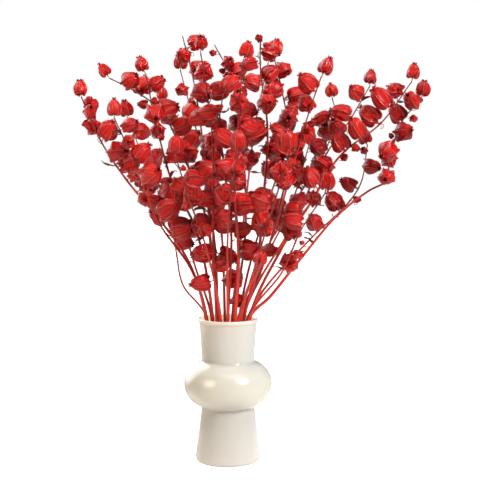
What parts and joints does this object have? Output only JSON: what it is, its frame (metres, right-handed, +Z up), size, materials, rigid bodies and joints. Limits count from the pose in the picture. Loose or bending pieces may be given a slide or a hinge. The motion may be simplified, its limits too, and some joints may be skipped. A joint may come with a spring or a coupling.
{
  "type": "dried physalis bouquet in a vase",
  "caption": "Red dyed dried physalis sprigs with papery lantern husks, standing in a cream opal glass vase with a round bulge.",
  "frame": {"origin": "centre of the vase's flat base, on the ground", "axes": "+Z up along the vase's axis, -Y towards the viewer, +X to the viewer's right"},
  "size_m": [0.4966, 0.3861, 0.6057],
  "materials": {
    "opal_glass": "glossy opaque cream",
    "dyed_sprig": "satin dyed dried plant"
  },
  "bodies": {
    "root": {"vase": "opal_glass", "sprig_left_long": "dyed_sprig", "sprig_left_bowed": "dyed_sprig", "sprig_left_front": "dyed_sprig", "sprig_left_dark": "dyed_sprig", "sprig_left_rising": "dyed_sprig", "sprig_left_arching": "dyed_sprig", "sprig_tall_bare": "dyed_sprig", "sprig_tall_slim": "dyed_sprig", "sprig_middle_near": "dyed_sprig", "sprig_middle_far": "dyed_sprig", "sprig_middle_tall": "dyed_sprig", "sprig_middle_thick": "dyed_sprig", "sprig_right_middle": "dyed_sprig", "sprig_right_long": "dyed_sprig", "sprig_right_bent": "dyed_sprig", "sprig_right_low_front": "dyed_sprig", "sprig_right_short": "dyed_sprig", "sprig_right_front_high": "dyed_sprig", "sprig_right_high": "dyed_sprig", "sprig_right_back_high": "dyed_sprig", "sprig_right_low_back": "dyed_sprig", "sprig_back_left": "dyed_sprig", "sprig_back_middle_left": "dyed_sprig", "sprig_back_middle_right": "dyed_sprig", "sprig_back_right": "dyed_sprig", "sprig_front_left": "dyed_sprig", "sprig_front_middle": "dyed_sprig", "sprig_front_right": "dyed_sprig"}
  },
  "joints": []
}
